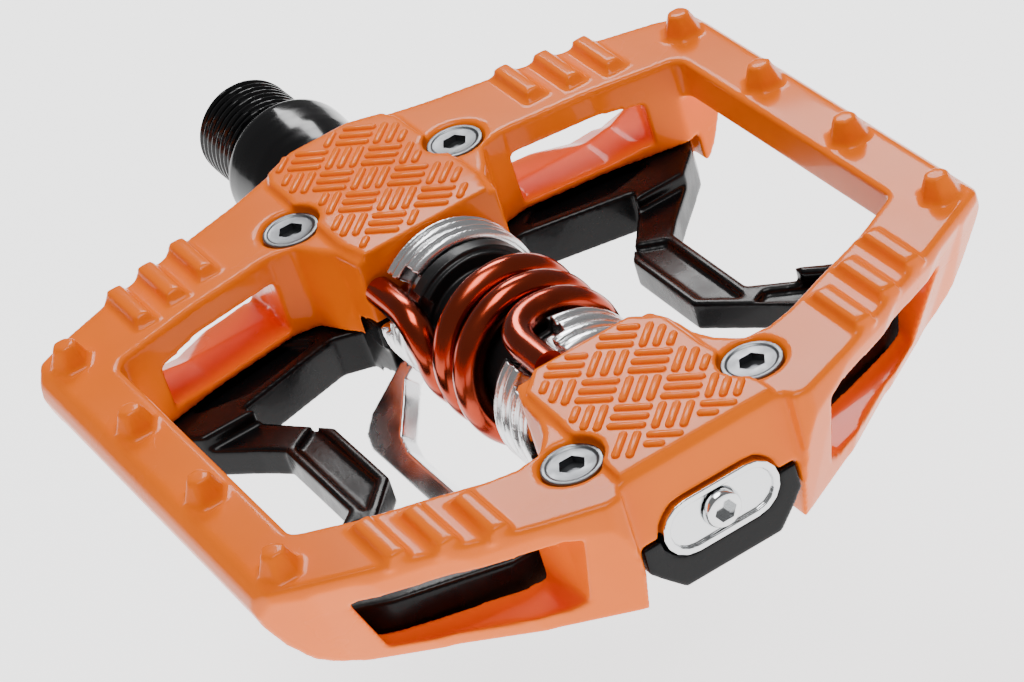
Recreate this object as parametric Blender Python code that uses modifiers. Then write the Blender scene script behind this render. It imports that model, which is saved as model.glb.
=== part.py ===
"""A bicycle pedal with a pinned platform on one side and sprung cleat wings on the other.

Lengths are in millimetres and are scaled to metres as each mesh is made. The spindle's axis is
the world X axis, with its crank shoulder at X = 0 and the pedal's outer end at +X. The platform
side faces +Z, and +Y points to the rear. Platform pieces are drawn about the platform's centre.
"""

import math

import bmesh
import bpy
from mathutils import Matrix, Vector

MM = 0.001
CENTRE_X = 62.5          # crank shoulder to the middle of the platform
TOP = 9.7                # spindle axis to the platform's flat top
PARTING = 0.5            # height of the joint between platform and lower cage at the bosses
GAP = 0.3                # clearance between neighbouring solids
SEGMENTS = 28            # sides of a turned piece

BOSS_HALF = 10.6         # half width of the clamped bosses
INNER_FACE = -17.8       # outboard face of the inboard boss
OUTER_FACE = 20.5        # inboard face of the outboard boss
END_FACE = 46.7          # outboard end of the platform's outer boss
REBATE_Z = -2.6          # ceiling that the lower cage sits under
RAIL_UNDER = 4.2         # underside of the front and rear rails
SKIRT_Z = -9.3           # lowest edge of the outboard arms
INNER_SKIRT_Z = -7.0     # lowest edge of the inboard arms
PIN_X = (-29.1, -9.65, 9.65, 29.1)
PIN_Y = 45.3
PIN_HEIGHT = 3.0
RIB_Y = (24.4, 29.6, 34.8)
TREAD_RISE = 0.8

SCREW_X = (-32.6, 38.4)
SCREW_Y = 12.2
SCREW_HEAD_R = 3.75
SCREW_R = 2.0
SCREW_LENGTH = 16.0

THREAD_R = 7.14          # 9/16 inch x 20 per inch
THREAD_LENGTH = 14.0
SHAFT_R = 4.2
BEARING_LAND_R = 2.5
HUB_R = 6.5
HUB_WAIST_R = 5.75
HUB_START = 18.3
HUB_END = 105.0
BEARING_START = 95.2
BEARING_WIDTH = 4.0
BALL_R = 1.0
BALL_PITCH_R = 4.05
BALL_COUNT = 7

PLATE_Z = 0.3            # height of the end plate's centre over the spindle axis
PLATE_R = 3.7            # end plate's end radius
PLATE_STRAIGHT = 4.1     # half of its straight length
PLUG_R = 1.5

WIRE_R = 1.95
COIL_R = 9.05
COIL_PITCH = 5.1
COIL_START_DEG = 175.0
COIL_END_DEG = 1168.0
INNER_LEG_DEG = 150.0
OUTER_LEG_DEG = 115.0
LEG_R = 10.0
NOTCH_DEG = 15.0

WING_BORE_R = 6.8
WING_RING_R = 10.3
NOTCH_R = 7.75
BAIL_R = 21.6
BAIL_THICK = 2.8
WING_TRAVEL_DEG = 12.0
FRONT_WING = {"rings": ((-17.4, -14.75), (16.0, 20.0)), "angle": 219.5, "turn": -1}
REAR_WING = {"rings": ((-14.4, -11.8), (12.2, 15.7)), "angle": -39.5, "turn": 1}

CAGE_TOP = REBATE_Z - GAP
CAGE_BOTTOM = -8.9
KNEE_TOP = -4.9

PARTS = None
CUTTERS = None
DATUM = None


# ---------------------------------------------------------------- scene and helpers

def clear_scene():
    for obj in list(bpy.data.objects):
        bpy.data.objects.remove(obj, do_unlink=True)


def new_collection(name):
    made = bpy.data.collections.new(name)
    bpy.context.scene.collection.children.link(made)
    return made


def material(name, colour, roughness, metallic):
    made = bpy.data.materials.new(name)
    made.use_nodes = True
    shader = made.node_tree.nodes["Principled BSDF"]
    shader.inputs["Base Color"].default_value = (*colour, 1.0)
    shader.inputs["Roughness"].default_value = roughness
    shader.inputs["Metallic"].default_value = metallic
    return made


def place(name, mesh, finish=None, on_platform=False):
    """Makes an object of the mesh: a part if it has a finish, or else a cutter."""
    obj = bpy.data.objects.new(name, mesh)
    (PARTS if finish else CUTTERS).objects.link(obj)
    if finish:
        mesh.materials.append(finish)
    else:
        obj.hide_render = True
        obj.display_type = "WIRE"
    if on_platform:
        obj.parent = DATUM
    return obj


def combine(obj, other, operation):
    modifier = obj.modifiers.new(other.name, "BOOLEAN")
    modifier.operation = operation
    modifier.solver = "EXACT"
    modifier.object = other


def to_mesh(bm, name):
    mesh = bpy.data.meshes.new(name)
    bmesh.ops.recalc_face_normals(bm, faces=bm.faces)
    bm.to_mesh(mesh)
    bm.free()
    return mesh


def joined(name, meshes):
    bm = bmesh.new()
    for mesh in meshes:
        bm.from_mesh(mesh)
    return to_mesh(bm, name)


def curve_mesh(name, curve):
    """The mesh that Blender makes of a curve, with its caps welded on."""
    guide = bpy.data.objects.new(name, curve)
    bpy.context.scene.collection.objects.link(guide)
    graph = bpy.context.evaluated_depsgraph_get()
    mesh = bpy.data.meshes.new_from_object(guide.evaluated_get(graph))
    bpy.data.objects.remove(guide, do_unlink=True)
    bm = bmesh.new()
    bm.from_mesh(mesh)
    bmesh.ops.remove_doubles(bm, verts=bm.verts, dist=0.000002)
    return to_mesh(bm, name)


def prism(name, outlines, low, high, turn=None):
    """A flat outline, with any holes after it, from height low to high along local Z."""
    curve = bpy.data.curves.new(name, "CURVE")
    curve.dimensions = "2D"
    curve.fill_mode = "BOTH"
    curve.extrude = (high - low) / 2 * MM
    for outline in outlines:
        spline = curve.splines.new("POLY")
        spline.points.add(len(outline) - 1)
        for point, (x, y) in zip(spline.points, outline):
            point.co = (x * MM, y * MM, 0, 1)
        spline.use_cyclic_u = True
    mesh = curve_mesh(name, curve)
    mesh.transform(Matrix.Translation((0, 0, (low + high) / 2 * MM)))
    if turn:
        mesh.transform(turn)
    return mesh


# Local X, Y, Z of a prism become world Y, Z, X, so an outline is drawn in (y, z).
ALONG_X = Matrix(((0, 0, 1, 0), (1, 0, 0, 0), (0, 1, 0, 0), (0, 0, 0, 1)))


def mirrored(half):
    """A closed outline from the half on the +Y side, given from -X to +X."""
    return list(half) + [(x, -y) for x, y in reversed(half)]


def turned(name, profile, finish, ring=True, steps=SEGMENTS):
    """A solid of revolution about the spindle: the profile holds (x, radius), from +X to -X outside."""
    bm = bmesh.new()
    points = [bm.verts.new((radius * MM, 0, x * MM)) for x, radius in profile]
    for first, second in zip(points, points[1:]):
        bm.edges.new((first, second))
    if ring:
        bm.edges.new((points[-1], points[0]))
    mesh = bpy.data.meshes.new(name)
    bm.to_mesh(mesh)
    bm.free()
    obj = place(name, mesh, finish)
    screw = obj.modifiers.new("turn", "SCREW")
    screw.axis = "Z"
    screw.angle = 2 * math.pi
    screw.steps = steps
    screw.render_steps = steps
    screw.use_merge_vertices = True
    screw.merge_threshold = 0.000002
    obj.rotation_euler = (0, math.pi / 2, 0)
    return obj


def tube(name, start, end, inner, outer, finish, bevel=0.0):
    """A plain ring or sleeve from x = start to end, its outer corners chamfered by bevel."""
    profile = [(end, inner), (end, outer - bevel), (end - bevel, outer),
               (start + bevel, outer), (start, outer - bevel), (start, inner)]
    if bevel == 0:
        profile = [(end, inner), (end, outer), (start, outer), (start, inner)]
    return turned(name, profile, finish)


def arc(radius, start_deg, end_deg, steps):
    span = end_deg - start_deg
    angles = [math.radians(start_deg + span * step / steps) for step in range(steps + 1)]
    return [(radius * math.cos(angle), radius * math.sin(angle)) for angle in angles]


def circle(radius, sides, height=0.0):
    points = arc(radius, 0, 360 - 360 / sides, sides - 1)
    return [(y, z + height) for y, z in points]


def sector(name, start_deg, end_deg, low, high):
    """A cutter outside NOTCH_R over the angles, which are measured from +Y towards +Z."""
    outline = arc(NOTCH_R, start_deg, end_deg, 5) + arc(15.0, end_deg, start_deg, 5)
    return prism(name, [outline], low, high, ALONG_X)


def cone(name, segments, bottom_r, top_r, low, high, place_at=(0, 0)):
    bm = bmesh.new()
    bmesh.ops.create_cone(bm, cap_ends=True, segments=segments, radius1=bottom_r * MM,
                          radius2=top_r * MM, depth=(high - low) * MM)
    shift = Matrix.Translation((place_at[0] * MM, place_at[1] * MM, (low + high) / 2 * MM))
    bmesh.ops.transform(bm, matrix=shift, verts=bm.verts)
    return to_mesh(bm, name)


def block(name, corners):
    """The solid between two unlike four-cornered sections, from its eight corners."""
    bm = bmesh.new()
    for corner in corners:
        bm.verts.new(Vector(corner) * MM)
    bmesh.ops.convex_hull(bm, input=bm.verts)
    return to_mesh(bm, name)


# ---------------------------------------------------------------- platform and lower cage

OUTER_HALF = ((-48.0, 4.6), (-46.2, 9.2), (-44.3, 14.3), (-42.5, 20.7), (-38.2, 35.3),
              (-34.8, 44.0), (-32.6, 48.0), (-30.0, 50.0), (29.0, 50.0), (31.8, 48.4),
              (38.0, 36.6), (45.6, 21.0), (48.6, 13.4), (48.3, 11.5), (END_FACE, BOSS_HALF + 0.3))
HOLE_HALF = ((INNER_FACE, 10.2), (-22.3, 10.9), (-25.2, 12.6), (-28.2, 14.0), (-29.0, 17.3),
             (-27.1, 29.4), (-25.3, 36.3), (-24.3, 40.4), (-23.0, 41.4), (23.6, 41.4),
             (24.6, 40.4), (28.0, 34.1), (31.0, 26.5), (33.6, 20.5), (34.4, 17.2), (34.0, 14.0),
             (31.1, 11.8), (28.4, 10.8), (23.4, 10.3), (OUTER_FACE, 9.2))
SIDE_HALF = ((48.3, TOP), (49.6, 8.3), (50.0, 6.6), (49.2, 3.5), (47.2, -1.1), (44.3, -5.7),
             (41.4, -8.2), (38.6, SKIRT_Z))
REBATE_HALF = ((-43.4, 9.0), (-41.4, 13.2), (-34.2, 15.8), (-33.6, 21.4), (-32.2, 30.0),
               (-30.4, 37.6), (-28.4, 41.9), (20.0, 41.9), (30.0, 20.0), (33.0, 12.6),
               (33.0, 9.0))
# Each row is the distance from the spindle, then the outer wall's x at z = 8.5 and at SKIRT_Z.
OUTER_DRAFT = ((10.5, 50.9, 44.6), (20.0, 46.1, 39.3), (30.0, 41.2, 32.6), (40.0, 36.35, 26.2),
               (45.0, 33.9, 24.6), (53.0, 30.0, 25.2))
# Each row is the distance from the spindle, then the opening's inner x, its top, and its sill's
# height at the inner and at the outer wall.
INBOARD_WINDOW = ((16.6, -38.0, 5.4, -3.0, -3.4), (18.2, -24.0, 5.8, -1.6, -3.6),
                  (30.0, -22.0, 5.8, -1.6, -5.2), (34.2, -22.0, 5.2, -1.0, -5.6),
                  (40.4, -37.0, 4.6, -1.0, -2.4))
OUTBOARD_WINDOW = ((16.6, 41.0, 5.6, -5.4, -5.8), (18.4, 30.0, 6.0, -6.0, -6.4),
                   (30.0, 27.0, 5.1, -6.8, -7.1), (36.6, 24.0, 4.6, -6.8, -7.0),
                   (40.0, 28.0, 4.2, 3.0, 2.8))
TREAD_INNER_HALF = ((-47.6, 4.4), (-45.6, 8.6), (-43.4, 9.6), (-22.5, 10.0), (INNER_FACE, 9.0))
TREAD_OUTER_HALF = ((OUTER_FACE, 6.6), (23.6, 9.4), (46.0, 10.2))
CAGE_OUTER_HALF = ((-46.4, 7.6), (-42.6, 10.3), (-41.0, 12.9), (-33.9, 15.5), (-33.2, 21.4),
                   (-31.9, 30.0), (-30.1, 37.5), (-28.4, 40.4), (-26.5, 41.0), (-23.3, 39.4),
                   (-14.4, 31.0), (-11.6, 28.7), (5.6, 28.7), (14.6, 39.0), (17.0, 40.8),
                   (22.6, 40.8), (24.2, 40.0), (27.9, 33.8), (30.5, 26.3), (32.6, 20.4),
                   (32.7, 14.0), (32.7, 10.3))
CAGE_HOLE_HALF = ((INNER_FACE - 0.2, 9.6), (-23.4, 10.6), (-25.0, 14.2), (-21.0, 29.2),
                  (-10.8, 22.0), (3.7, 22.0), (17.5, 33.6), (21.6, 29.0), (26.4, 19.0),
                  (26.0, 13.0), (24.0, 10.6), (OUTER_FACE + 0.2, 9.6))


def rib(name, centre, inward):
    """A trapezoidal grip rib along X, full height at its outer end and sloped at its inner end."""
    x, y = centre
    long_end, short_end = 5.2 * inward, 3.6 * inward
    foot = [(x - long_end, y + side, TOP - 0.6) for side in (-1.9, 1.9)]
    foot += [(x + long_end, y + side, TOP - 0.6) for side in (-1.9, 1.9)]
    crown = [(x - long_end, y + side, TOP + 1.3) for side in (-0.9, 0.9)]
    crown += [(x + short_end, y + side, TOP + 1.3) for side in (-0.9, 0.9)]
    return block(name, foot + crown)


def arm_centre_x(y, inboard):
    """The middle of an arm's top face at this distance from the spindle."""
    if inboard:
        return -42.5 + (abs(y) - 20.7) * 0.294 + 5.4
    return 45.6 - (abs(y) - 21.0) * 0.487 - 5.4


def grips():
    """Pins, grip ribs and raised treads, each standing a little into the platform's top."""
    meshes = []
    for side in (-1, 1):
        for x in PIN_X:
            meshes.append(cone("pin", 6, 3.0, 1.5, TOP - 0.5, TOP + PIN_HEIGHT, (x, side * PIN_Y)))
        for y in RIB_Y:
            meshes.append(rib("rib", (arm_centre_x(y, True), side * y), 1))
            meshes.append(rib("rib", (arm_centre_x(y, False), side * y), -1))
    for outline in (TREAD_INNER_HALF, TREAD_OUTER_HALF):
        meshes.append(prism("tread", [mirrored(outline)], TOP - 0.5, TOP + TREAD_RISE))
    return joined("grips", meshes)


def loft(name, rings):
    """The solid through a row of alike sections, each a ring of points."""
    bm = bmesh.new()
    rows = [[bm.verts.new(Vector(point) * MM) for point in ring] for ring in rings]
    for first, second in zip(rows, rows[1:]):
        for index in range(len(first)):
            after = (index + 1) % len(first)
            bm.faces.new((first[index], first[after], second[after], second[index]))
    bm.faces.new(rows[0])
    bm.faces.new(rows[-1])
    bmesh.ops.triangulate(bm, faces=bm.faces)
    return to_mesh(bm, name)


def outer_draft(side):
    """A cutter that slants an outboard arm's outer wall inwards towards its lower edge."""
    rings = []
    for y, high_x, low_x in OUTER_DRAFT:
        slope = (high_x - low_x) / (8.5 - SKIRT_Z)
        corners = ((high_x + 3.5 * slope, 12), (62, 12), (62, -12), (low_x - 2.7 * slope, -12))
        rings.append([(x, side * y, z) for x, z in corners])
    return loft("outer_draft", rings)


def side_window(inboard, side):
    """A cutter for the opening through an arm, whose sill is level inside and slopes down outside."""
    rings = []
    for y, inner_x, top, sill, outer_sill in INBOARD_WINDOW if inboard else OUTBOARD_WINDOW:
        knee, outer = (-34.4, -50.0) if inboard else (35.0, 54.0)
        knee = min(knee, inner_x - 1) if inboard else max(knee, inner_x + 1)
        drop = (sill - outer_sill) * 1.8
        corners = ((inner_x, top), (outer, top + 0.3), (outer, sill - drop), (knee, sill),
                   (inner_x, sill))
        rings.append([(x, side * y, z) for x, z in corners])
    return loft("side_window", rings)


def screw_holes(name, radius, head=False):
    meshes = []
    for x in SCREW_X:
        for side in (-1, 1):
            meshes.append(cone("hole", 16, radius, radius, -20, 20, (x, side * SCREW_Y)))
            if head:
                meshes.append(cone("head", 20, radius, SCREW_HEAD_R + GAP, TOP - 2.8, TOP - 0.6,
                                   (x, side * SCREW_Y)))
                meshes.append(cone("recess", 20, SCREW_HEAD_R + GAP, SCREW_HEAD_R + GAP,
                                   TOP - 0.65, TOP + 5, (x, side * SCREW_Y)))
    return meshes


def seat_cutters(obj):
    """The bore that the hub lies in, and the seats of the end plate and its plug screw."""
    bore = prism("hub_bore", [circle(HUB_R + GAP, SEGMENTS)], 10 - CENTRE_X,
                 HUB_END + GAP - CENTRE_X, ALONG_X)
    combine(obj, place("hub_bore", bore, on_platform=True), "DIFFERENCE")
    combine(obj, place("plate_seat", stadium("plate_seat", GAP, END_FACE - 1.3, END_FACE + 5),
                       on_platform=True), "DIFFERENCE")
    plug = prism("plug_hole", [circle(PLUG_R + GAP, 16, PLATE_Z)], 40, 60, ALONG_X)
    combine(obj, place("plug_hole", plug, on_platform=True), "DIFFERENCE")


def stadium(name, grow, low, high):
    """The end plate's outline, grown on all sides, from x = low to high."""
    straight, radius = PLATE_STRAIGHT, PLATE_R + grow
    right = [(straight + y, z + PLATE_Z) for y, z in arc(radius, -90, 90, 8)]
    left = [(-straight + y, z + PLATE_Z) for y, z in arc(radius, 90, 270, 8)]
    return prism(name, [right + left], low, high, ALONG_X)


def make_platform(finish):
    plan = prism("platform_body", [mirrored(OUTER_HALF), mirrored(HOLE_HALF)], SKIRT_Z - 0.5, TOP)
    body = place("platform_body", plan, finish, on_platform=True)
    side = prism("side_profile", [[(y, z) for y, z in SIDE_HALF]
                 + [(-y, z) for y, z in reversed(SIDE_HALF)]], -60, 60, ALONG_X)
    combine(body, place("side_profile", side, on_platform=True), "INTERSECT")
    combine(body, place("grips", grips(), on_platform=True), "UNION")
    for side_sign in (-1, 1):
        under = prism("rail_under", [[(-24.4, side_sign * 40.0), (24.8, side_sign * 40.0),
                                      (29.0, side_sign * 55.0), (-30.5, side_sign * 55.0)]],
                      -20, RAIL_UNDER)
        combine(body, place("rail_under", under, on_platform=True), "DIFFERENCE")
        combine(body, place("outer_draft", outer_draft(side_sign), on_platform=True), "DIFFERENCE")
        for inboard in (True, False):
            opening = side_window(inboard, side_sign)
            combine(body, place("side_window", opening, on_platform=True), "DIFFERENCE")
    rebate = prism("rebate", [mirrored(REBATE_HALF)], -20, REBATE_Z)
    combine(body, place("rebate", rebate, on_platform=True), "DIFFERENCE")
    under = prism("inner_skirt", [[(-60, -60), (-15, -60), (-15, 60), (-60, 60)]],
                  -20, INNER_SKIRT_Z)
    combine(body, place("inner_skirt", under, on_platform=True), "DIFFERENCE")
    half = BOSS_HALF
    parting = prism("parting", [[(-60, -half), (60, -half), (60, half), (-60, half)]],
                    -20, PARTING)
    combine(body, place("parting", parting, on_platform=True), "DIFFERENCE")
    seat_cutters(body)
    for hole in screw_holes("screw_hole", SCREW_R + GAP, head=True):
        combine(body, place("screw_hole", hole, on_platform=True), "DIFFERENCE")
    return body


def make_lower_cage(finish):
    plan = prism("lower_cage", [mirrored(CAGE_OUTER_HALF), mirrored(CAGE_HOLE_HALF)],
                 CAGE_BOTTOM, CAGE_TOP)
    cage = place("lower_cage", plan, finish, on_platform=True)
    half = BOSS_HALF - GAP
    for low, high in ((-46.4, INNER_FACE - 0.2), (OUTER_FACE + 0.2, END_FACE)):
        section = [(-half, -3.4), (-6.6, -7.4), (6.6, -7.4), (half, -3.4),
                   (half, PARTING - GAP), (-half, PARTING - GAP)]
        boss = prism("boss", [section], low, high, ALONG_X)
        combine(cage, place("boss", boss, on_platform=True), "UNION")
    for side in (-1, 1):
        step = prism("knee_step", [[(-19.4, side * 20.0), (17.0, side * 20.0),
                                    (17.0, side * 33.0), (-19.4, side * 36.0)]], KNEE_TOP, 5)
        combine(cage, place("knee_step", step, on_platform=True), "DIFFERENCE")
    for low, high in ((-60, -14), (14, 60)):
        under = block("boss_under", [(x, y, z) for x in (low, high)
                                     for y, z in ((-10, -8.0), (10, -8.0), (-14, -20), (14, -20))])
        combine(cage, place("boss_under", under, on_platform=True), "DIFFERENCE")
    seat_cutters(cage)
    for hole in screw_holes("cage_hole", SCREW_R + GAP):
        combine(cage, place("cage_hole", hole, on_platform=True), "DIFFERENCE")
    return cage


def make_body_screws(finish):
    """Four countersunk screws with hex sockets, heads level with the platform's top."""
    top = TOP - 0.2
    profile = [(top, 0), (top, SCREW_HEAD_R), (top - 0.3, SCREW_HEAD_R), (top - 2.1, SCREW_R),
               (top - SCREW_LENGTH + 0.5, SCREW_R), (top - SCREW_LENGTH, SCREW_R - 0.5),
               (top - SCREW_LENGTH, 0)]
    names = ("front_inner", "rear_inner", "front_outer", "rear_outer")
    spots = [(x, side * SCREW_Y) for x in SCREW_X for side in (-1, 1)]
    for name, (x, y) in zip(names, spots):
        screw = turned("body_screw_" + name, profile, finish, ring=False, steps=16)
        screw.rotation_euler = (0, 0, 0)
        screw.parent = DATUM
        screw.location = (x * MM, y * MM, 0)
        socket = place("socket", cone("socket", 6, 1.44, 1.44, top - 1.6, top + 1, (x, y)),
                       on_platform=True)
        combine(screw, socket, "DIFFERENCE")


# ---------------------------------------------------------------- spindle, hub and bearing

def make_spindle(finish):
    end = 104.6
    profile = [(end, 0), (end, 2.2), (end - 0.4, 2.45), (BEARING_START - 0.4, BEARING_LAND_R),
               (BEARING_START - 0.4, SHAFT_R - 0.4), (90.0, SHAFT_R), (16.4, SHAFT_R),
               (15.0, SHAFT_R + 0.8), (14.0, 6.2), (13.4, 7.2), (11.0, 8.0), (7.0, 8.8),
               (3.0, 9.2), (0.9, 9.3),
               (0.0, 9.1), (0.0, THREAD_R + 0.3), (0.5, 6.9), (0.5, 6.2), (-1.6, 6.2),
               (-2.0, THREAD_R),
               (-THREAD_LENGTH + 0.9, THREAD_R), (-THREAD_LENGTH, THREAD_R - 0.9),
               (-THREAD_LENGTH, 0)]
    spindle = turned("spindle", profile, finish, ring=False)
    bm = bmesh.new()
    bmesh.ops.create_cone(bm, cap_ends=True, segments=6, radius1=4.62 * MM, radius2=4.62 * MM,
                          depth=14 * MM)
    bmesh.ops.transform(bm, matrix=ALONG_X @ Matrix.Translation((0, 0, -14 * MM)), verts=bm.verts)
    combine(spindle, place("hex_broach", to_mesh(bm, "hex_broach")), "DIFFERENCE")


def make_hub(finish):
    """The tube clamped by platform and cage, which the wings, sleeves and spring turn on."""
    waist_start, waist_end = CENTRE_X - 11.7, CENTRE_X + 12.05
    profile = [(HUB_END, 5.8), (HUB_END, HUB_R), (waist_end, HUB_R), (waist_end, HUB_WAIST_R),
               (waist_start, HUB_WAIST_R), (waist_start, HUB_R), (HUB_START, HUB_R),
               (HUB_START, 5.6), (42.4, 5.6), (42.4, 4.75), (BEARING_START - 0.6, 4.75),
               (BEARING_START - 0.6, 5.8)]
    turned("hub_tube", profile, finish)


def make_inner_bearing(bush_finish, seal_finish):
    tube("inner_bushing", 19.5, 42.0, SHAFT_R + 0.15, 5.35, bush_finish)
    lip = [(17.9, 4.5), (17.9, 6.4), (16.0, 6.4), (16.0, 5.4), (17.0, 4.5)]
    turned("spindle_seal", lip, seal_finish)


def groove(side, steps=4):
    """Profile points of a ball groove: side is +1 for the inner race and -1 for the outer one."""
    middle = BEARING_START + BEARING_WIDTH / 2
    points = []
    for step in range(steps + 1):
        angle = math.radians(-50 + 100 * step / steps)
        depth = (BALL_R + 0.1) * math.cos(angle) * side
        points.append((middle - (BALL_R + 0.1) * math.sin(angle), BALL_PITCH_R - depth))
    return points


def make_outer_bearing(race_finish, ball_finish, cage_finish):
    end = BEARING_START + BEARING_WIDTH
    inner = [(end, BEARING_LAND_R + 0.12), (end, 3.35), *groove(1), (BEARING_START, 3.35),
             (BEARING_START, BEARING_LAND_R + 0.12)]
    turned("bearing_inner_race", inner, race_finish)
    outer = [(end, 4.75), (end, 5.5), (BEARING_START, 5.5), (BEARING_START, 4.75),
             *reversed(groove(-1))]
    turned("bearing_outer_race", outer, race_finish)
    middle = BEARING_START + BEARING_WIDTH / 2
    retainer = tube("ball_cage", middle - 1.6, middle + 1.6, 3.72, 4.38, cage_finish)
    for index in range(BALL_COUNT):
        angle = 2 * math.pi * index / BALL_COUNT
        centre = Vector((middle, BALL_PITCH_R * math.cos(angle), BALL_PITCH_R * math.sin(angle)))
        bm = bmesh.new()
        bmesh.ops.create_uvsphere(bm, u_segments=12, v_segments=6, radius=BALL_R * MM)
        ball = place("bearing_ball_%d" % (index + 1), to_mesh(bm, "ball"), ball_finish)
        ball.location = centre * MM
        bm = bmesh.new()
        bmesh.ops.create_uvsphere(bm, u_segments=10, v_segments=8, radius=(BALL_R + 0.15) * MM)
        pocket = place("pocket", to_mesh(bm, "pocket"))
        pocket.location = centre * MM
        combine(retainer, pocket, "DIFFERENCE")


def make_spindle_end(finish):
    washer_start = BEARING_START + BEARING_WIDTH + 0.15
    tube("spindle_washer", washer_start, washer_start + 0.7, 2.65, 3.9, finish)
    nut_start = washer_start + 0.85
    nut = prism("spindle_nut", [circle(4.3, 6), circle(2.65, 16)], nut_start, nut_start + 2.8, ALONG_X)
    place("spindle_nut", nut, finish)


def make_end_plate(plate_finish, plug_finish):
    """The stadium plate over the hub's end, with a raised rim, and the plug screw through it."""
    plate = place("end_plate", stadium("end_plate", 0, END_FACE - 1.0, END_FACE + 0.6),
                  plate_finish, on_platform=True)
    field = place("plate_field", stadium("plate_field", -0.9, END_FACE + 0.1, END_FACE + 3),
                  on_platform=True)
    combine(plate, field, "DIFFERENCE")
    hole = prism("plate_hole", [circle(PLUG_R + GAP, 16, PLATE_Z)], 40, 60, ALONG_X)
    combine(plate, place("plate_hole", hole, on_platform=True), "DIFFERENCE")
    start = CENTRE_X + END_FACE
    profile = [(start + 1.3, 0), (start + 1.3, 2.2), (start + 0.3, 2.5), (start + 0.3, PLUG_R),
               (start - 3.2, PLUG_R), (start - 3.2, 0)]
    plug = turned("grease_plug", profile, plug_finish, ring=False, steps=16)
    plug.location = (0, 0, PLATE_Z * MM)
    bm = bmesh.new()
    bmesh.ops.create_cone(bm, cap_ends=True, segments=6, radius1=1.45 * MM, radius2=1.45 * MM,
                          depth=2.4 * MM)
    shift = Matrix.Translation(((start + 1.3) * MM, 0, PLATE_Z * MM))
    bmesh.ops.transform(bm, matrix=shift @ ALONG_X, verts=bm.verts)
    combine(plug, place("plug_socket", to_mesh(bm, "plug_socket")), "DIFFERENCE")


# ---------------------------------------------------------------- cleat mechanism

def make_sleeves(finish):
    """Split plastic sleeves between hub and spring, each flanged against a wing ring."""
    centre = CENTRE_X
    inner = turned("spring_sleeve_inner",
                   [(centre - 0.2, 6.0), (centre - 0.2, 6.9), (centre - 8.6, 6.9),
                    (centre - 8.6, 9.3), (centre - 11.5, 9.3), (centre - 11.5, 6.0)], finish)
    outer = turned("spring_sleeve_outer",
                   [(centre + 11.9, 6.0), (centre + 11.9, 9.3), (centre + 11.0, 9.3),
                    (centre + 11.0, 6.9), (centre + 0.2, 6.9), (centre + 0.2, 6.0)], finish)
    bend = NOTCH_DEG + 12
    spans = ((inner, INNER_LEG_DEG - NOTCH_DEG, INNER_LEG_DEG + bend),
             (outer, OUTER_LEG_DEG - bend, OUTER_LEG_DEG + NOTCH_DEG))
    for sleeve, first, second in spans:
        notch = sector("sleeve_notch", first, second, -15, 15)
        combine(sleeve, place("sleeve_notch", notch, on_platform=True), "DIFFERENCE")


def coil_x(angle_deg):
    return -5.7 + (angle_deg - COIL_START_DEG) / 360 * COIL_PITCH


def polar(x, radius, angle_deg):
    angle = math.radians(angle_deg)
    return (x * MM, radius * math.cos(angle) * MM, radius * math.sin(angle) * MM)


def spring_points():
    """The wire's centre line: a straight leg along each wing ring, and the coil between them."""
    points = [polar(-17.3, LEG_R, INNER_LEG_DEG), polar(-13.5, LEG_R, INNER_LEG_DEG),
              polar(-10.4, LEG_R, INNER_LEG_DEG + 0.5), polar(-8.6, 9.9, INNER_LEG_DEG + 3.5),
              polar(-7.2, 9.6, INNER_LEG_DEG + 9.5), polar(-6.3, 9.3, INNER_LEG_DEG + 17)]
    steps = round((COIL_END_DEG - COIL_START_DEG) / 18)
    for step in range(steps + 1):
        angle = COIL_START_DEG + (COIL_END_DEG - COIL_START_DEG) * step / steps
        points.append(polar(coil_x(angle), COIL_R, angle))
    last = coil_x(COIL_END_DEG)
    turn = OUTER_LEG_DEG + 1080
    points += [polar(last + 0.6, 9.3, turn - 17), polar(last + 1.5, 9.6, turn - 9.5),
               polar(last + 2.9, 9.9, turn - 3.5), polar(last + 4.7, LEG_R, turn - 0.5),
               polar(16.0, LEG_R, turn), polar(19.6, LEG_R, turn)]
    return points


def make_spring(finish):
    curve = bpy.data.curves.new("torsion_spring", "CURVE")
    curve.dimensions = "3D"
    curve.bevel_depth = WIRE_R * MM
    curve.bevel_resolution = 2
    curve.use_fill_caps = True
    points = spring_points()
    spline = curve.splines.new("POLY")
    spline.points.add(len(points) - 1)
    for point, co in zip(spline.points, points):
        point.co = (*co, 1)
    place("torsion_spring", curve_mesh("torsion_spring", curve), finish, on_platform=True)


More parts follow.
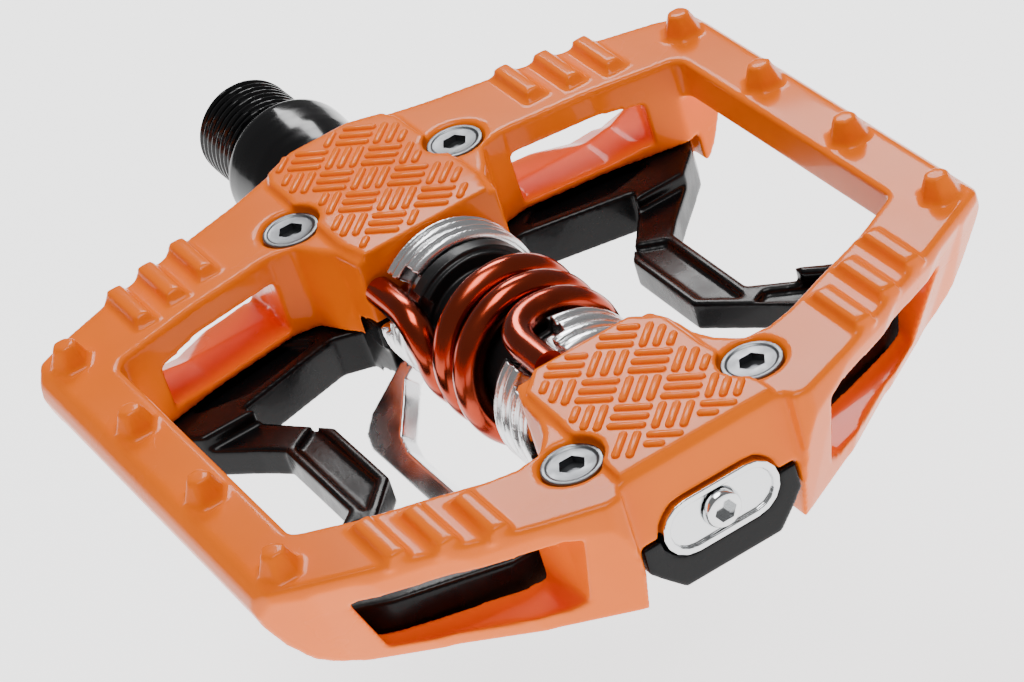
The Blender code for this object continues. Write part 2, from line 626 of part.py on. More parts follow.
def make_wing(name, wing, finish):
    """Two rings on the hub, joined by a bail that the cleat hooks under."""
    (left, left_end), (right_start, right) = wing["rings"]
    arm = WING_BORE_R + 0.9
    outline = [(left, arm), (left, BAIL_R - 3.4), (left + 1.2, BAIL_R - 1.0),
               (left + 3.6, BAIL_R), (right - 3.6, BAIL_R), (right - 1.2, BAIL_R - 1.0),
               (right, BAIL_R - 3.4), (right, arm), (right_start, arm), (right_start, 11.9),
               (right_start - 2.4, 14.6), (right_start - 5.0, 17.8), (right_start - 8.0, 18.7),
               (left_end + 8.0, 18.7), (left_end + 5.0, 17.8), (left_end + 2.4, 14.6),
               (left_end, 11.9), (left_end, arm)]
    bail = prism(name, [outline], -BAIL_THICK / 2, BAIL_THICK / 2)
    bail.transform(Matrix.Rotation(math.radians(wing["angle"]), 4, "X"))
    obj = place(name, bail, finish, on_platform=True)
    for start, end in wing["rings"]:
        ring = turned("wing_ring", [(end, arm - 0.5), (end, WING_RING_R - 0.5),
                                    (end - 0.5, WING_RING_R), (start + 0.5, WING_RING_R),
                                    (start, WING_RING_R - 0.5), (start, arm - 0.5)], None)
        ring.parent = DATUM
        combine(obj, ring, "UNION")
    travel = WING_TRAVEL_DEG * wing["turn"]
    for leg_deg, (start, end) in zip((INNER_LEG_DEG, OUTER_LEG_DEG), wing["rings"]):
        first = leg_deg - NOTCH_DEG - max(0, travel)
        second = leg_deg + NOTCH_DEG - min(0, travel)
        notch = sector("ring_notch", first, second, start - 0.1, end + 0.1)
        combine(obj, place("ring_notch", notch, on_platform=True), "DIFFERENCE")
    bore = prism("wing_bore", [circle(WING_BORE_R, SEGMENTS)], -30, 30, ALONG_X)
    combine(obj, place("wing_bore", bore, on_platform=True), "DIFFERENCE")


# ---------------------------------------------------------------- the pedal

def main():
    global PARTS, CUTTERS, DATUM
    clear_scene()
    PARTS = new_collection("clipless_pedal")
    CUTTERS = new_collection("cutters")
    CUTTERS.hide_render = True
    DATUM = bpy.data.objects.new("platform_centre", None)
    DATUM.location = (CENTRE_X * MM, 0, 0)
    PARTS.objects.link(DATUM)

    orange = material("orange_gloss", (0.95, 0.17, 0.005), 0.25, 0.0)
    black = material("black_cast", (0.01, 0.01, 0.011), 0.35, 0.2)
    zinc = material("zinc_steel", (0.35, 0.36, 0.37), 0.4, 0.9)
    chromoly = material("black_steel", (0.02, 0.02, 0.02), 0.25, 0.6)
    chrome = material("chrome_steel", (0.8, 0.8, 0.8), 0.15, 1.0)
    copper = material("red_spring_steel", (0.42, 0.06, 0.03), 0.25, 0.8)
    plastic = material("black_plastic", (0.02, 0.02, 0.02), 0.45, 0.0)
    rubber = material("seal_rubber", (0.01, 0.01, 0.01), 0.8, 0.0)
    alloy = material("hub_alloy", (0.6, 0.6, 0.62), 0.35, 1.0)
    brass = material("ball_cage_brass", (0.7, 0.5, 0.2), 0.35, 1.0)

    make_platform(orange)
    make_lower_cage(black)
    make_body_screws(zinc)
    make_spindle(chromoly)
    make_hub(alloy)
    make_inner_bearing(plastic, rubber)
    make_outer_bearing(chrome, chrome, brass)
    make_spindle_end(zinc)
    make_end_plate(chrome, chrome)
    make_sleeves(plastic)
    make_spring(copper)
    make_wing("front_wing", FRONT_WING, chrome)
    make_wing("rear_wing", REAR_WING, chrome)


main()
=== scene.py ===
"""The looks of the bicycle pedal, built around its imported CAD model. Lengths are in millimetres."""

import math

import bmesh
import bpy
from mathutils import Matrix, Vector


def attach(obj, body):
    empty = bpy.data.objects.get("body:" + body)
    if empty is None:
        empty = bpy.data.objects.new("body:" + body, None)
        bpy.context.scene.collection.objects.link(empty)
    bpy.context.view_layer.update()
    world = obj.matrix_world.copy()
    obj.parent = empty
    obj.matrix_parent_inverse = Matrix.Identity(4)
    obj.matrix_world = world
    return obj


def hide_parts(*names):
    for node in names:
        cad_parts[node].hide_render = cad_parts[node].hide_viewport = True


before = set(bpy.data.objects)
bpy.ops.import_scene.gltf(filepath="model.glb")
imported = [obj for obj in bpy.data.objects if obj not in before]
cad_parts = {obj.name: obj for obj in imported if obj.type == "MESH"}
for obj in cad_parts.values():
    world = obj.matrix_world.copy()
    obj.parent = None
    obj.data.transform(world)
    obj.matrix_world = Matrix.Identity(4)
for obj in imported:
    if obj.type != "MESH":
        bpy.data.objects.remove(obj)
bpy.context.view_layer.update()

# The spindle lies on the X axis, with the crank shoulder at 0 and the thread on the negative side.
MM = 0.001
FLOOR_Z = -75.0
CENTRE_X = 62.5
TOP = 9.7
TREAD_TOP = 10.5
END_FACE = CENTRE_X + 46.7
SPINDLE, PEDAL = "spindle", "pedal_body"
COARSE = 1.0
PIECE_TRIANGLES = 185000


# ---------------------------------------------------------------- materials

def shader_of(made):
    return made.node_tree.nodes["Principled BSDF"]


def material(name, colour, roughness, metallic=0.0, coat=0.0, specular=0.5):
    made = bpy.data.materials.new(name)
    made.use_nodes = True
    shader = shader_of(made)
    shader.inputs["Base Color"].default_value = (*colour, 1)
    shader.inputs["Roughness"].default_value = roughness
    shader.inputs["Metallic"].default_value = metallic
    shader.inputs["Coat Weight"].default_value = coat
    shader.inputs["Coat Roughness"].default_value = 0.04
    shader.inputs["Specular IOR Level"].default_value = specular
    return made


def noise(made, scale, detail=2.0, stretch=None):
    nodes, links = made.node_tree.nodes, made.node_tree.links
    coords = nodes.new("ShaderNodeTexCoord")
    texture = nodes.new("ShaderNodeTexNoise")
    texture.inputs["Scale"].default_value = scale
    texture.inputs["Detail"].default_value = detail
    source = coords.outputs["Object"]
    if stretch:
        mapping = nodes.new("ShaderNodeMapping")
        mapping.inputs["Scale"].default_value = stretch
        links.new(source, mapping.inputs["Vector"])
        source = mapping.outputs["Vector"]
    links.new(source, texture.inputs["Vector"])
    return texture.outputs["Fac"]


def bumped(made, scale, distance, strength=0.5, detail=2.0, stretch=None):
    """Adds a fine surface relief, no deeper than the distance in millimetres."""
    nodes, links = made.node_tree.nodes, made.node_tree.links
    bump = nodes.new("ShaderNodeBump")
    bump.inputs["Strength"].default_value = strength
    bump.inputs["Distance"].default_value = distance * MM
    links.new(noise(made, scale, detail, stretch), bump.inputs["Height"])
    links.new(bump.outputs["Normal"], shader_of(made).inputs["Normal"])


def varied(made, scale, low, high, stretch=None):
    """Lets the roughness wander between two values."""
    nodes, links = made.node_tree.nodes, made.node_tree.links
    spread = nodes.new("ShaderNodeMapRange")
    spread.inputs["From Min"].default_value = 0.35
    spread.inputs["From Max"].default_value = 0.65
    spread.inputs["To Min"].default_value = low
    spread.inputs["To Max"].default_value = high
    links.new(noise(made, scale, 3.0, stretch), spread.inputs["Value"])
    links.new(spread.outputs["Result"], shader_of(made).inputs["Roughness"])


def tinted(made, scale, first, second):
    """Lets the colour wander between two values."""
    nodes, links = made.node_tree.nodes, made.node_tree.links
    ramp = nodes.new("ShaderNodeValToRGB")
    ramp.color_ramp.elements[0].position = 0.4
    ramp.color_ramp.elements[1].position = 0.62
    ramp.color_ramp.elements[0].color = (*first, 1)
    ramp.color_ramp.elements[1].color = (*second, 1)
    links.new(noise(made, scale, 3.0), ramp.inputs["Fac"])
    links.new(ramp.outputs["Color"], shader_of(made).inputs["Base Color"])


ORANGE = material("orange_paint", (1.0, 0.19, 0.0), 0.3, coat=0.16, specular=0.06)
tinted(ORANGE, scale=60, first=(0.98, 0.175, 0.0), second=(0.93, 0.16, 0.0))
varied(ORANGE, scale=90, low=0.2, high=0.28)
bumped(ORANGE, scale=700, distance=0.02, strength=0.35)
CAST = material("black_casting", (0.003, 0.003, 0.0035), 0.26, coat=0.06, specular=0.15)
varied(CAST, scale=220, low=0.22, high=0.34)
bumped(CAST, scale=1300, distance=0.03, strength=0.6, detail=4.0)
ZINC = material("zinc_steel", (0.17, 0.175, 0.185), 0.34, metallic=1.0)
varied(ZINC, scale=500, low=0.28, high=0.42)
bumped(ZINC, scale=1500, distance=0.01, strength=0.4)
AXLE = material("black_steel", (0.003, 0.003, 0.0035), 0.18, coat=0.15, specular=0.3)
varied(AXLE, scale=160, low=0.12, high=0.22, stretch=(6, 1, 1))
CHROME = material("chromed_steel", (0.72, 0.73, 0.74), 0.12, metallic=1.0)
varied(CHROME, scale=150, low=0.09, high=0.17)
SATIN = material("satin_steel", (0.86, 0.86, 0.87), 0.24, metallic=1.0)
varied(SATIN, scale=300, low=0.2, high=0.28)
COPPER = material("red_spring_steel", (0.4, 0.05, 0.02), 0.2, metallic=1.0, coat=0.15)
tinted(COPPER, scale=90, first=(0.42, 0.055, 0.022), second=(0.34, 0.04, 0.016))
varied(COPPER, scale=200, low=0.16, high=0.26)
PLASTIC = material("black_plastic", (0.007, 0.007, 0.0075), 0.36, specular=0.35)
bumped(PLASTIC, scale=1800, distance=0.02, strength=0.4)
RUBBER = material("seal_rubber", (0.012, 0.012, 0.012), 0.7)
bumped(RUBBER, scale=2000, distance=0.02)
ALLOY = material("hub_alloy", (0.55, 0.55, 0.57), 0.3, metallic=1.0)
bumped(ALLOY, scale=400, distance=0.01, stretch=(9, 1, 1))
BRASS = material("cage_brass", (0.7, 0.48, 0.18), 0.3, metallic=1.0)
bumped(BRASS, scale=900, distance=0.01)
BALL = material("bearing_steel", (0.6, 0.61, 0.63), 0.1, metallic=1.0)
varied(BALL, scale=300, low=0.08, high=0.14)


# ---------------------------------------------------------------- helpers

def link(obj):
    bpy.context.scene.collection.objects.link(obj)
    return obj


def smooth(mesh, angle=None):
    for face in mesh.polygons:
        face.use_smooth = True
    if angle:
        mesh.set_sharp_from_angle(angle=math.radians(angle))
    return mesh


def finished(bm, name, angle=None):
    """The mesh of a bmesh drawn in millimetres."""
    bmesh.ops.recalc_face_normals(bm, faces=bm.faces)
    bmesh.ops.scale(bm, vec=(MM, MM, MM), verts=bm.verts)
    mesh = bpy.data.meshes.new(name)
    bm.to_mesh(mesh)
    bm.free()
    return smooth(mesh, angle)


def hold(obj, finish, body, slot, *nodes):
    """Gives a piece its finish, its body and the CAD nodes that it stands for."""
    obj.data.materials.clear()
    obj.data.materials.append(finish)
    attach(obj, body)
    if nodes:
        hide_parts(*nodes)
    return obj


def applied(obj, name):
    """The object's mesh with its modifiers applied, in a new object that takes its place."""
    graph = bpy.context.evaluated_depsgraph_get()
    mesh = bpy.data.meshes.new_from_object(obj.evaluated_get(graph))
    mesh.name = name
    bpy.data.objects.remove(obj, do_unlink=True)
    return link(bpy.data.objects.new(name, mesh))


def cut(obj, cutters):
    """Takes the cutting meshes away from obj one after another."""
    helpers = [link(bpy.data.objects.new("cutter", mesh)) for mesh in cutters]
    for helper in helpers:
        modifier = obj.modifiers.new("cut", "BOOLEAN")
        modifier.operation = "DIFFERENCE"
        modifier.solver = "EXACT"
        modifier.object = helper
    made = applied(obj, obj.name)
    for helper in helpers:
        bpy.data.objects.remove(helper, do_unlink=True)
    return made


def cast(name, mesh, voxel, passes, budget=PIECE_TRIANGLES, cutters=()):
    """A casting: the mesh less its cutters, its parts merged and every edge rounded over."""
    piece = link(bpy.data.objects.new(name, mesh))
    if cutters:
        piece = cut(piece, cutters)
    remesh = piece.modifiers.new("remesh", "REMESH")
    remesh.mode = "VOXEL"
    remesh.voxel_size = voxel * COARSE * MM
    soften = piece.modifiers.new("soften", "SMOOTH")
    soften.factor = 0.5
    soften.iterations = passes
    piece = applied(piece, name)
    piece.data.calc_loop_triangles()
    count = len(piece.data.loop_triangles)
    if count > budget:
        modifier = piece.modifiers.new("thin", "DECIMATE")
        modifier.ratio = budget / count
        piece = applied(piece, name)
    smooth(piece.data)
    return piece


def cad_copy(node):
    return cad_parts[node].data.copy()


def merged(meshes):
    bm = bmesh.new()
    for mesh in meshes:
        bm.from_mesh(mesh)
    made = bpy.data.meshes.new("merged")
    bm.to_mesh(made)
    bm.free()
    return made


def skin(bm, rings, segments):
    """Faces between rings about the spindle, where a ring may be a single point."""
    for first, second in rings:
        for step in range(segments):
            after = (step + 1) % segments
            corners = [first[step % len(first)], first[after % len(first)],
                       second[after % len(second)], second[step % len(second)]]
            bm.faces.new(list(dict.fromkeys(corners)))


def stack(bm, rows):
    """Walls between equal rows of vertices, and a cap at each end."""
    count = len(rows[0])
    for first, second in zip(rows, rows[1:]):
        for step in range(count):
            after = (step + 1) % count
            bm.faces.new((first[step], first[after], second[after], second[step]))
    bm.faces.new(rows[0])
    bm.faces.new(rows[-1])


def prism(outline, low, high):
    """A mesh with that outline about the platform's centre, between two heights."""
    bm = bmesh.new()
    rows = [[bm.verts.new((x + CENTRE_X, y, z)) for x, y in outline] for z in (low, high)]
    stack(bm, rows)
    return finished(bm, "prism")


def lathe(name, profile, segments=96, angle=35.0, closed=False):
    """A solid of revolution about the spindle from (x, radius) points."""
    bm = bmesh.new()
    rows = []
    for x, radius in profile:
        if radius < 1e-6:
            rows.append([bm.verts.new((x, 0, 0))])
            continue
        turn = [2 * math.pi * step / segments for step in range(segments)]
        rows.append([bm.verts.new((x, radius * math.cos(a), radius * math.sin(a))) for a in turn])
    pairs = list(zip(rows, rows[1:])) + ([(rows[-1], rows[0])] if closed else [])
    skin(bm, pairs, segments)
    return link(bpy.data.objects.new(name, finished(bm, name, angle)))


def rounded(points, radius=0.25, steps=4):
    """The profile with every corner but its two ends rounded off."""
    result = [points[0]]
    for before, corner, after in zip(points, points[1:], points[2:]):
        corner_v = Vector(corner)
        to_before = Vector(before) - corner_v
        to_after = Vector(after) - corner_v
        reach = min(radius, to_before.length * 0.45, to_after.length * 0.45)
        first = corner_v + to_before.normalized() * reach
        last = corner_v + to_after.normalized() * reach
        for step in range(steps + 1):
            t = step / steps
            point = first * (1 - t) ** 2 + corner_v * 2 * t * (1 - t) + last * t ** 2
            result.append(tuple(point))
    return result + [points[-1]]


def hexagon(radius, depth, place_at, axis="Z"):
    """A cutting mesh for a hex socket, centred at a place."""
    bm = bmesh.new()
    bmesh.ops.create_cone(bm, cap_ends=True, segments=6, radius1=radius, radius2=radius,
                          depth=depth)
    if axis == "X":
        bmesh.ops.transform(bm, matrix=Matrix.Rotation(math.pi / 2, 4, "Y"), verts=bm.verts)
    bmesh.ops.translate(bm, vec=place_at, verts=bm.verts)
    return finished(bm, "hexagon")


# ---------------------------------------------------------------- platform

PLATEAU_INNER = ((-47.6, 4.4), (-45.6, 8.6), (-43.4, 9.6), (-22.5, 10.0), (-17.8, 9.0))
PLATEAU_OUTER = ((20.5, 6.6), (23.6, 9.4), (46.0, 10.2))
SCREWS = ((-32.6, -12.2), (-32.6, 12.2), (38.4, -12.2), (38.4, 12.2))
SCREW_CLEARANCE = 4.6
BAR_MARGIN = 0.9
BAR_SIDES = 16
SAMPLES = 16
CELL, BAR_PITCH, BAR_LENGTH = 5.1, 1.66, 4.7


def inside(point, half, margin):
    """Whether a point lies on the plateau whose half outline is given, that far from its edge."""
    x, y = point
    xs = [corner[0] for corner in half]
    if not xs[0] + margin <= x <= xs[-1] - margin:
        return False
    for (x1, y1), (x2, y2) in zip(half, half[1:]):
        if x1 <= x <= x2 and abs(y) > y1 + (y2 - y1) * (x - x1) / (x2 - x1) - margin:
            return False
    return all(math.hypot(x - sx, y - sy) > SCREW_CLEARANCE for sx, sy in SCREWS)


def add_bar(bm, start, end, z, half=0.52, rise=0.34):
    """A rounded bar lying on the plateau."""
    along = (end - start).normalized()
    across = Vector((-along.y, along.x))
    rows = []
    for inset, height in ((0.0, -0.3), (0.0, rise * 0.4), (0.14, rise * 0.82), (0.3, rise)):
        ring = []
        for step in range(BAR_SIDES):
            angle = 2 * math.pi * (step + 0.5) / BAR_SIDES
            centre = end if math.cos(angle) > 0 else start
            reach = half - inset
            out = along * (math.cos(angle) * reach - math.copysign(half, math.cos(angle)))
            point = centre + out + across * math.sin(angle) * reach
            ring.append(bm.verts.new((point.x + CENTRE_X, point.y, z + height)))
        rows.append(ring)
    stack(bm, rows)


def bar_within(start, end, half):
    """The longest stretch of a bar that lies on the plateau, or None if that is under half."""
    best, run = [], []
    for step in range(SAMPLES + 1):
        point = start.lerp(end, step / SAMPLES)
        run = run + [point] if inside(point, half, BAR_MARGIN) else []
        if len(run) > len(best):
            best = run
    return (best[0], best[-1]) if len(best) > SAMPLES // 2 else None


def make_weave(name, half, origin):
    """The basket weave of a plateau: cells of three bars, each turned 90 degrees from the next."""
    bm = bmesh.new()
    turn = Matrix.Rotation(math.radians(45), 2)
    for column in range(-9, 10):
        for row in range(-9, 10):
            for lane in (-1, 0, 1):
                offset = Vector((lane * BAR_PITCH, BAR_LENGTH / 2))
                ends = [offset, Vector((offset.x, -offset.y))]
                if (column + row) % 2:
                    ends = [Vector((end.y, end.x)) for end in ends]
                middle = Vector((column * CELL, row * CELL))
                ends = [turn @ (middle + end) + Vector(origin) for end in ends]
                kept = bar_within(*ends, half)
                if kept:
                    add_bar(bm, *kept, TREAD_TOP)
    weave = link(bpy.data.objects.new(name, finished(bm, name, 50)))
    hold(weave, ORANGE, PEDAL, "orange_gloss")


def make_platform():
    body = cast("platform_casting", cad_copy("platform_body"), voxel=0.36, passes=4)
    hold(body, ORANGE, PEDAL, "orange_gloss", "platform_body")
    make_weave("inner_tread", PLATEAU_INNER, (-32.6, 0.0))
    make_weave("outer_tread", PLATEAU_OUTER, (34.0, 0.0))


def make_cage():
    """The cage, with sunk panels in its top face on each side."""
    panels = []
    for side in (-1, 1):
        knee = ((-13.6, 23.6), (-10.4, 23.3), (3.0, 23.3), (7.6, 27.3), (3.6, 27.4), (-11.0, 27.4))
        arm = ((-26.6, 15.6), (-23.6, 27.0), (-25.4, 34.0), (-30.0, 32.0), (-31.6, 21.0))
        stem = ((9.4, 27.6), (13.0, 30.6), (17.0, 35.0), (16.2, 38.0), (12.0, 33.8), (8.4, 29.6))
        panels.append(prism([(x, y * side) for x, y in knee], -5.7, 0))
        panels.append(prism([(x, y * side) for x, y in arm], -3.9, 0))
        panels.append(prism([(x, y * side) for x, y in stem], -5.7, 0))
    cage = cast("cage_casting", cad_copy("lower_cage"), voxel=0.32, passes=3, budget=170000,
                cutters=panels)
    hold(cage, CAST, PEDAL, "black_cast", "lower_cage")


def make_screws():
    """The countersunk screws, turned about X and then stood up."""
    names = ("front_inner", "rear_inner", "front_outer", "rear_outer")
    top = TOP - 0.2
    length, half_pitch = 16.0, 0.35
    outline = [(top - 0.16, 0), (top - 0.16, 2.9), (top, 3.15), (top, 3.62), (top - 0.3, 3.75),
               (top - 2.0, 2.0), (top - 2.6, 1.9)]
    for step in range(int((length - 3.4) / half_pitch)):
        outline.append((top - 2.8 - step * half_pitch, 2.0 if step % 2 else 1.72))
    outline += [(top - 15.6, 1.7), (top - length, 1.3), (top - length, 0)]
    for name, (x, y) in zip(names, SCREWS):
        screw = lathe("screw_" + name, rounded(outline, 0.12, 2), 64)
        screw.data.transform(Matrix.Rotation(-math.pi / 2, 4, "Y"))
        screw.data.transform(Matrix.Translation(((x + CENTRE_X) * MM, y * MM, 0)))
        screw = cut(screw, [hexagon(1.7, 2.0, (x + CENTRE_X, y, top - 0.1))])
        smooth(screw.data, 35)
        hold(screw, ZINC, PEDAL, "zinc_steel", "body_screw_" + name)


def make_end_plate():
    cover = cast("end_cover", cad_copy("end_plate"), voxel=0.13, passes=2, budget=60000)
    hold(cover, CHROME, PEDAL, "chrome_steel", "end_plate")
    rise = 0.3
    profile = [(1.15, 0), (1.3, 1.6), (1.15, 2.15), (0.35, 2.5), (0.3, 1.5), (-3.2, 1.5), (-3.2, 0)]
    profile = [(END_FACE + x, radius) for x, radius in profile]
    plug = lathe("plug_screw", rounded(profile, 0.15, 3), 64)
    plug.data.transform(Matrix.Translation((0, 0, rise * MM)))
    plug = cut(plug, [hexagon(1.45, 2.6, (END_FACE + 1.4, 0, rise), "X")])
    smooth(plug.data, 35)
    hold(plug, CHROME, PEDAL, "chrome_steel", "grease_plug")


# ---------------------------------------------------------------- spindle, hub and bearing

THREAD_RADIUS, THREAD_PITCH = 7.14, 1.27
THREAD_START, THREAD_LENGTH = -2.0, 12.0
THREAD_END = THREAD_START - THREAD_LENGTH


def thread_radius(x, turn):
    """The crank thread's radius: flat crests and roots, fading out at both ends, and a chamfer."""
    phase = (x / THREAD_PITCH + turn) % 1.0
    depth = max(0.0, min(1.0, 1.35 - abs(phase - 0.5) * 3.4))
    fade = min(1.0, max(0.0, (x + 13.9) / 1.3)) * min(1.0, max(0.0, (THREAD_START - x) / 0.5))
    chamfered = THREAD_RADIUS - max(0.0, -13.2 - x)
    return min(THREAD_RADIUS - (0.78 * depth + 0.05) * fade, chamfered)


def make_spindle():
    segments = 96
    body = [(104.6, 0), (104.6, 2.2), (104.2, 2.45), (94.8, 2.5), (94.8, 3.8), (90.0, 4.2),
            (16.4, 4.2), (15.0, 5.0), (14.0, 6.2), (13.4, 7.2), (11.0, 8.0), (7.0, 8.8),
            (3.0, 9.2), (0.9, 9.3), (0.0, 9.1), (0.0, 7.4), (0.5, 6.9), (0.5, 6.2), (-1.6, 6.2)]
    rows = [(x, radius, False) for x, radius in rounded(body, 0.5, 4)]
    count = int(THREAD_LENGTH / (0.1 * COARSE))
    for step in range(count + 1):
        rows.append((THREAD_START - THREAD_LENGTH * step / count, THREAD_RADIUS, True))
    rows += [(THREAD_END, 5.6, False), (THREAD_END, 0, False)]
    bm = bmesh.new()
    rings = []
    for x, radius, threaded in rows:
        if radius < 1e-6:
            rings.append([bm.verts.new((x, 0, 0))])
            continue
        ring = []
        for step in range(segments):
            angle = 2 * math.pi * step / segments
            reach = thread_radius(x, step / segments) if threaded else radius
            ring.append(bm.verts.new((x, reach * math.cos(angle), reach * math.sin(angle))))
        rings.append(ring)
    skin(bm, zip(rings, rings[1:]), segments)
    spindle = link(bpy.data.objects.new("pedal_spindle", finished(bm, "pedal_spindle")))
    spindle = cut(spindle, [hexagon(4.62, 14, (THREAD_END, 0, 0), "X")])
    smooth(spindle.data, 40)
    hold(spindle, AXLE, SPINDLE, "black_steel", "spindle")


def make_hub():
    start, end = CENTRE_X - 11.7, CENTRE_X + 12.05
    profile = [(105.0, 5.8), (105.0, 6.5), (end, 6.5), (end, 5.75), (start, 5.75), (start, 6.5),
               (18.3, 6.5), (18.3, 5.6), (42.4, 5.6), (42.4, 4.75), (94.6, 4.75), (94.6, 5.8)]
    hold(lathe("hub", profile, 96, closed=True), ALLOY, PEDAL, "hub_alloy", "hub_tube")
    lip = [(17.9, 4.5), (17.9, 6.4), (16.0, 6.4), (16.0, 5.4), (17.0, 4.5)]
    hold(lathe("seal_lip", lip, 96, closed=True), RUBBER, PEDAL, "seal_rubber", "spindle_seal")


def make_sleeves():
    """The split sleeves under the spring, each with a stepped flange and a slot for a spring leg."""
    inner = [(-0.2, 6.0), (-0.2, 6.9), (-8.6, 6.9), (-8.6, 8.7), (-9.4, 8.7), (-9.4, 9.3),
             (-11.5, 9.3), (-11.5, 6.0)]
    outer = [(11.9, 6.0), (11.9, 9.3), (11.0, 9.3), (11.0, 6.9), (0.2, 6.9), (0.2, 6.0)]
    for side, half, first, last in (("inner", inner, 135, 177), ("outer", outer, 88, 130)):
        profile = [(CENTRE_X + x, radius) for x, radius in half]
        sleeve = lathe("sleeve_" + side, profile, 96, closed=True)
        sleeve = cut(sleeve, [sector(first, last, 45, 80)])
        mesh = sleeve.data.copy()
        bpy.data.objects.remove(sleeve, do_unlink=True)
        sleeve = cast("sleeve_" + side, mesh, voxel=0.16, passes=3, budget=90000)
        hold(sleeve, PLASTIC, PEDAL, "black_plastic", "spring_sleeve_" + side)


def finish_hidden_nodes():
    """Gives the CAD nodes that stay in view their final materials."""
    finishes = {"inner_bushing": PLASTIC, "bearing_inner_race": BALL, "bearing_outer_race": BALL,
                "ball_cage": BRASS, "spindle_washer": ZINC, "spindle_nut": ZINC}
    finishes.update({"bearing_ball_%d" % index: BALL for index in range(1, 8)})
    for node, finish in finishes.items():
        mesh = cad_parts[node].data
        mesh.materials.clear()
        mesh.materials.append(finish)


# ---------------------------------------------------------------- cleat mechanism

LEG_ANGLES = (150, 115)
WIRE_RADIUS, COIL_RADIUS, COIL_PITCH = 1.95, 9.05, 5.1
COIL_START_X, COIL_START, COIL_END, COIL_STEP = -5.7, 175, 1168, 12
NOTCH_RADIUS, NOTCH_HALF = 7.75, 15


def polar(x, radius, degrees):
    """A point from its place along the spindle, its distance from it and its angle round it."""
    angle = math.radians(degrees)
    return Vector((x + CENTRE_X, radius * math.cos(angle), radius * math.sin(angle)))


def spring_path():
    """The wire's centre line: a leg through the notch of each ring, and the coil between them."""
    lead = LEG_ANGLES[0]
    points = [polar(-17.3, 10.0, lead), polar(-13.5, 10.0, lead), polar(-10.4, 10.0, lead + 0.5),
              polar(-8.6, 9.9, lead + 3.5), polar(-7.2, 9.6, lead + 9.5),
              polar(-6.3, 9.3, lead + 17)]
    sweep = COIL_END - COIL_START
    steps = round(sweep / COIL_STEP)
    for step in range(steps + 1):
        angle = COIL_START + sweep * step / steps
        along = COIL_START_X + (angle - COIL_START) / 360 * COIL_PITCH
        points.append(polar(along, COIL_RADIUS, angle))
    last = COIL_START_X + sweep / 360 * COIL_PITCH
    turn = LEG_ANGLES[1] + 3 * 360
    points += [polar(last + 0.6, 9.3, turn - 17), polar(last + 1.5, 9.6, turn - 9.5),
               polar(last + 2.9, 9.9, turn - 3.5), polar(last + 4.7, 10.0, turn - 0.5),
               polar(16.0, 10.0, turn), polar(19.6, 10.0, turn)]
    return points


def make_spring():
    curve = bpy.data.curves.new("spring", "CURVE")
    curve.dimensions = "3D"
    curve.bevel_depth = WIRE_RADIUS * MM
    curve.bevel_resolution = 8
    curve.use_fill_caps = True
    points = spring_path()
    spline = curve.splines.new("BEZIER")
    spline.bezier_points.add(len(points) - 1)
    spline.resolution_u = 4
    for knot, place in zip(spline.bezier_points, points):
        knot.co = place * MM
        knot.handle_left_type = knot.handle_right_type = "AUTO"
    guide = link(bpy.data.objects.new("spring_guide", curve))
    spring = applied(guide, "spring")
    bm = bmesh.new()
    bm.from_mesh(spring.data)
    bmesh.ops.remove_doubles(bm, verts=bm.verts, dist=0.000002)
    bmesh.ops.recalc_face_normals(bm, faces=bm.faces)
    bm.to_mesh(spring.data)
    bm.free()
    smooth(spring.data, 50)
    hold(spring, COPPER, PEDAL, "red_spring_steel", "torsion_spring")


def sector(first, last, low, high):
    """A cutting mesh outside the notch radius between two angles and two places along the spindle."""
    turn = [first + (last - first) * step / 12 for step in range(13)]
    outline = [(NOTCH_RADIUS, angle) for angle in turn] + [(15.0, angle) for angle in reversed(turn)]
    bm = bmesh.new()
    rows = [[bm.verts.new(polar(x - CENTRE_X, radius, angle)) for radius, angle in outline]
            for x in (low, high)]
    stack(bm, rows)
    return finished(bm, "sector")


def ring_profile(start, end):
    """A wing's ring: two rounded ridges with a groove between them."""
    side = [(0.0, 6.8), (0.0, 9.5), (0.2, 10.0), (0.6, 10.3), ((end - start) / 2 - 0.5, 10.3),
            ((end - start) / 2 - 0.2, 9.6)]
    return ([(end - inset, radius) for inset, radius in side]
            + [(start + inset, radius) for inset, radius in reversed(side)])


def bail_mesh(left, left_end, right_start, right, angle):
    """The bail between a wing's two rings, a flat bar bent to a rounded frame."""
    arm, reach = 7.7, 21.6
    outline = [(left, arm), (left, reach - 3.4), (left + 1.2, reach - 1.0), (left + 3.6, reach),
               (right - 3.6, reach), (right - 1.2, reach - 1.0), (right, reach - 3.4),
               (right, arm), (right_start, arm), (right_start, 11.9), (right_start - 2.4, 14.6),
               (right_start - 5.0, 17.8), (right_start - 8.0, 18.7), (left_end + 8.0, 18.7),
               (left_end + 5.0, 17.8), (left_end + 2.4, 14.6), (left_end, 11.9), (left_end, arm)]
    mesh = prism(outline, -1.4, 1.4)
    mesh.transform(Matrix.Rotation(math.radians(angle), 4, "X"))
    return mesh


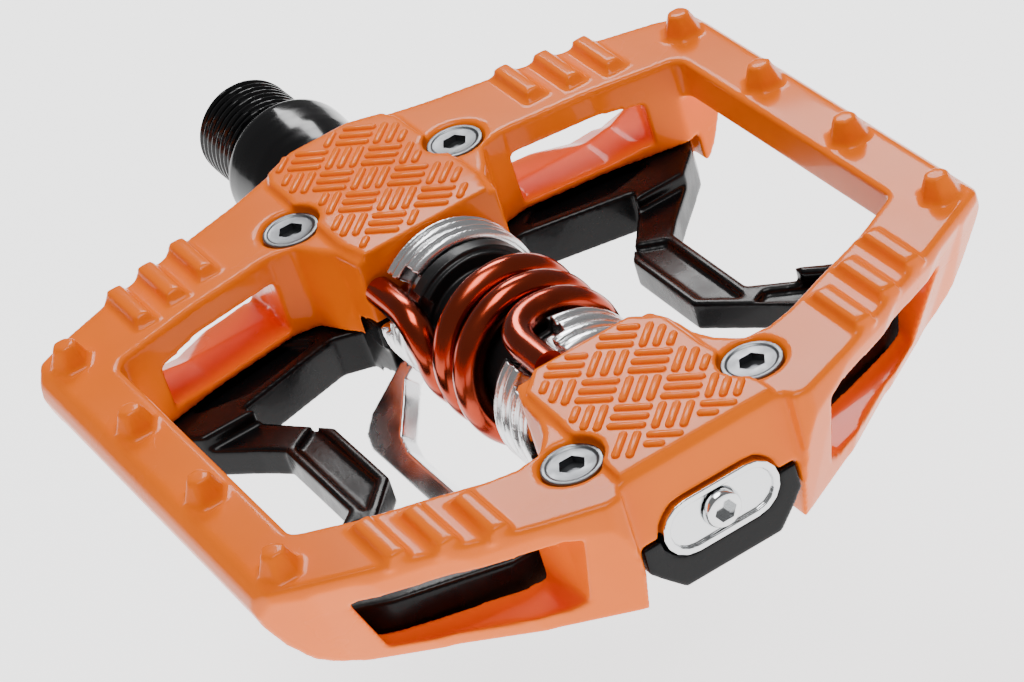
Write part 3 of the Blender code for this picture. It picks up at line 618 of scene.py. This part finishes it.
def make_wings():
    """Each wing's two notched rings and the bail between them, cast as one piece."""
    wings = (("front_wing", ((-17.4, -14.75), (16.0, 20.0)), 219.5, -12),
             ("rear_wing", ((-14.4, -11.8), (12.2, 15.7)), -39.5, 12))
    for node, rings, angle, travel in wings:
        meshes = [bail_mesh(*rings[0], *rings[1], angle)]
        for leg, (start, end) in zip(LEG_ANGLES, rings):
            profile = [(x + CENTRE_X, radius) for x, radius in ring_profile(start, end)]
            ring = lathe("ring", profile, 128, closed=True)
            first, last = leg - NOTCH_HALF - max(0, travel), leg + NOTCH_HALF - min(0, travel)
            notch = sector(first, last, start + CENTRE_X - 0.1, end + CENTRE_X + 0.1)
            ring = cut(ring, [notch])
            meshes.append(ring.data.copy())
            bpy.data.objects.remove(ring, do_unlink=True)
        wing = cast(node + "_casting", merged(meshes), voxel=0.19, passes=3, budget=170000)
        hold(wing, SATIN, node, "chrome_steel", node)


# ---------------------------------------------------------------- stage

CAMERA_PLACE = (433.589, -134.938, 261.819)
CAMERA_DEGREES = (55.2043, 14.9080, 59.9505)
FLOOR_HALF = 3000
AIM = (0.06, 0, 0)


def make_camera():
    data = bpy.data.cameras.new("camera")
    data.lens = 137.85
    data.sensor_width = 36.0
    camera = link(bpy.data.objects.new("camera", data))
    camera.location = [place * MM for place in CAMERA_PLACE]
    camera.rotation_euler = [math.radians(angle) for angle in CAMERA_DEGREES]
    bpy.context.scene.camera = camera


def make_floor():
    bm = bmesh.new()
    bmesh.ops.create_grid(bm, x_segments=1, y_segments=1, size=FLOOR_HALF)
    floor = link(bpy.data.objects.new("floor", finished(bm, "floor")))
    floor.location = (0, 0, FLOOR_Z * MM)
    paint = material("pale_floor", (0.98, 0.98, 0.98), 0.9)
    shader_of(paint).inputs["Emission Color"].default_value = (1, 1, 1, 1)
    shader_of(paint).inputs["Emission Strength"].default_value = 1.8
    floor.data.materials.append(paint)


def area_light(name, place, size, power):
    """A rectangular lamp at a place in metres that faces the pedal."""
    data = bpy.data.lights.new(name, "AREA")
    data.shape = "RECTANGLE"
    data.size, data.size_y = size
    data.energy = power
    light = link(bpy.data.objects.new(name, data))
    light.location = place
    aim = Vector(AIM) - Vector(place)
    light.rotation_euler = aim.to_track_quat("-Z", "Y").to_euler()


def make_lights():
    world = bpy.data.worlds.new("studio")
    bpy.context.scene.world = world
    world.use_nodes = True
    background = world.node_tree.nodes["Background"]
    background.inputs["Color"].default_value = (1, 1, 1, 1)
    background.inputs["Strength"].default_value = 0.22
    area_light("key", place=(0.1, 0.05, 0.9), size=(0.55, 0.4), power=6.5)
    area_light("rim", place=(-0.5, 0.3, 0.5), size=(0.3, 0.2), power=3)


make_platform()
make_cage()
make_screws()
make_end_plate()
make_spindle()
make_hub()
make_sleeves()
finish_hidden_nodes()
make_spring()
make_wings()
make_camera()
make_floor()
make_lights()
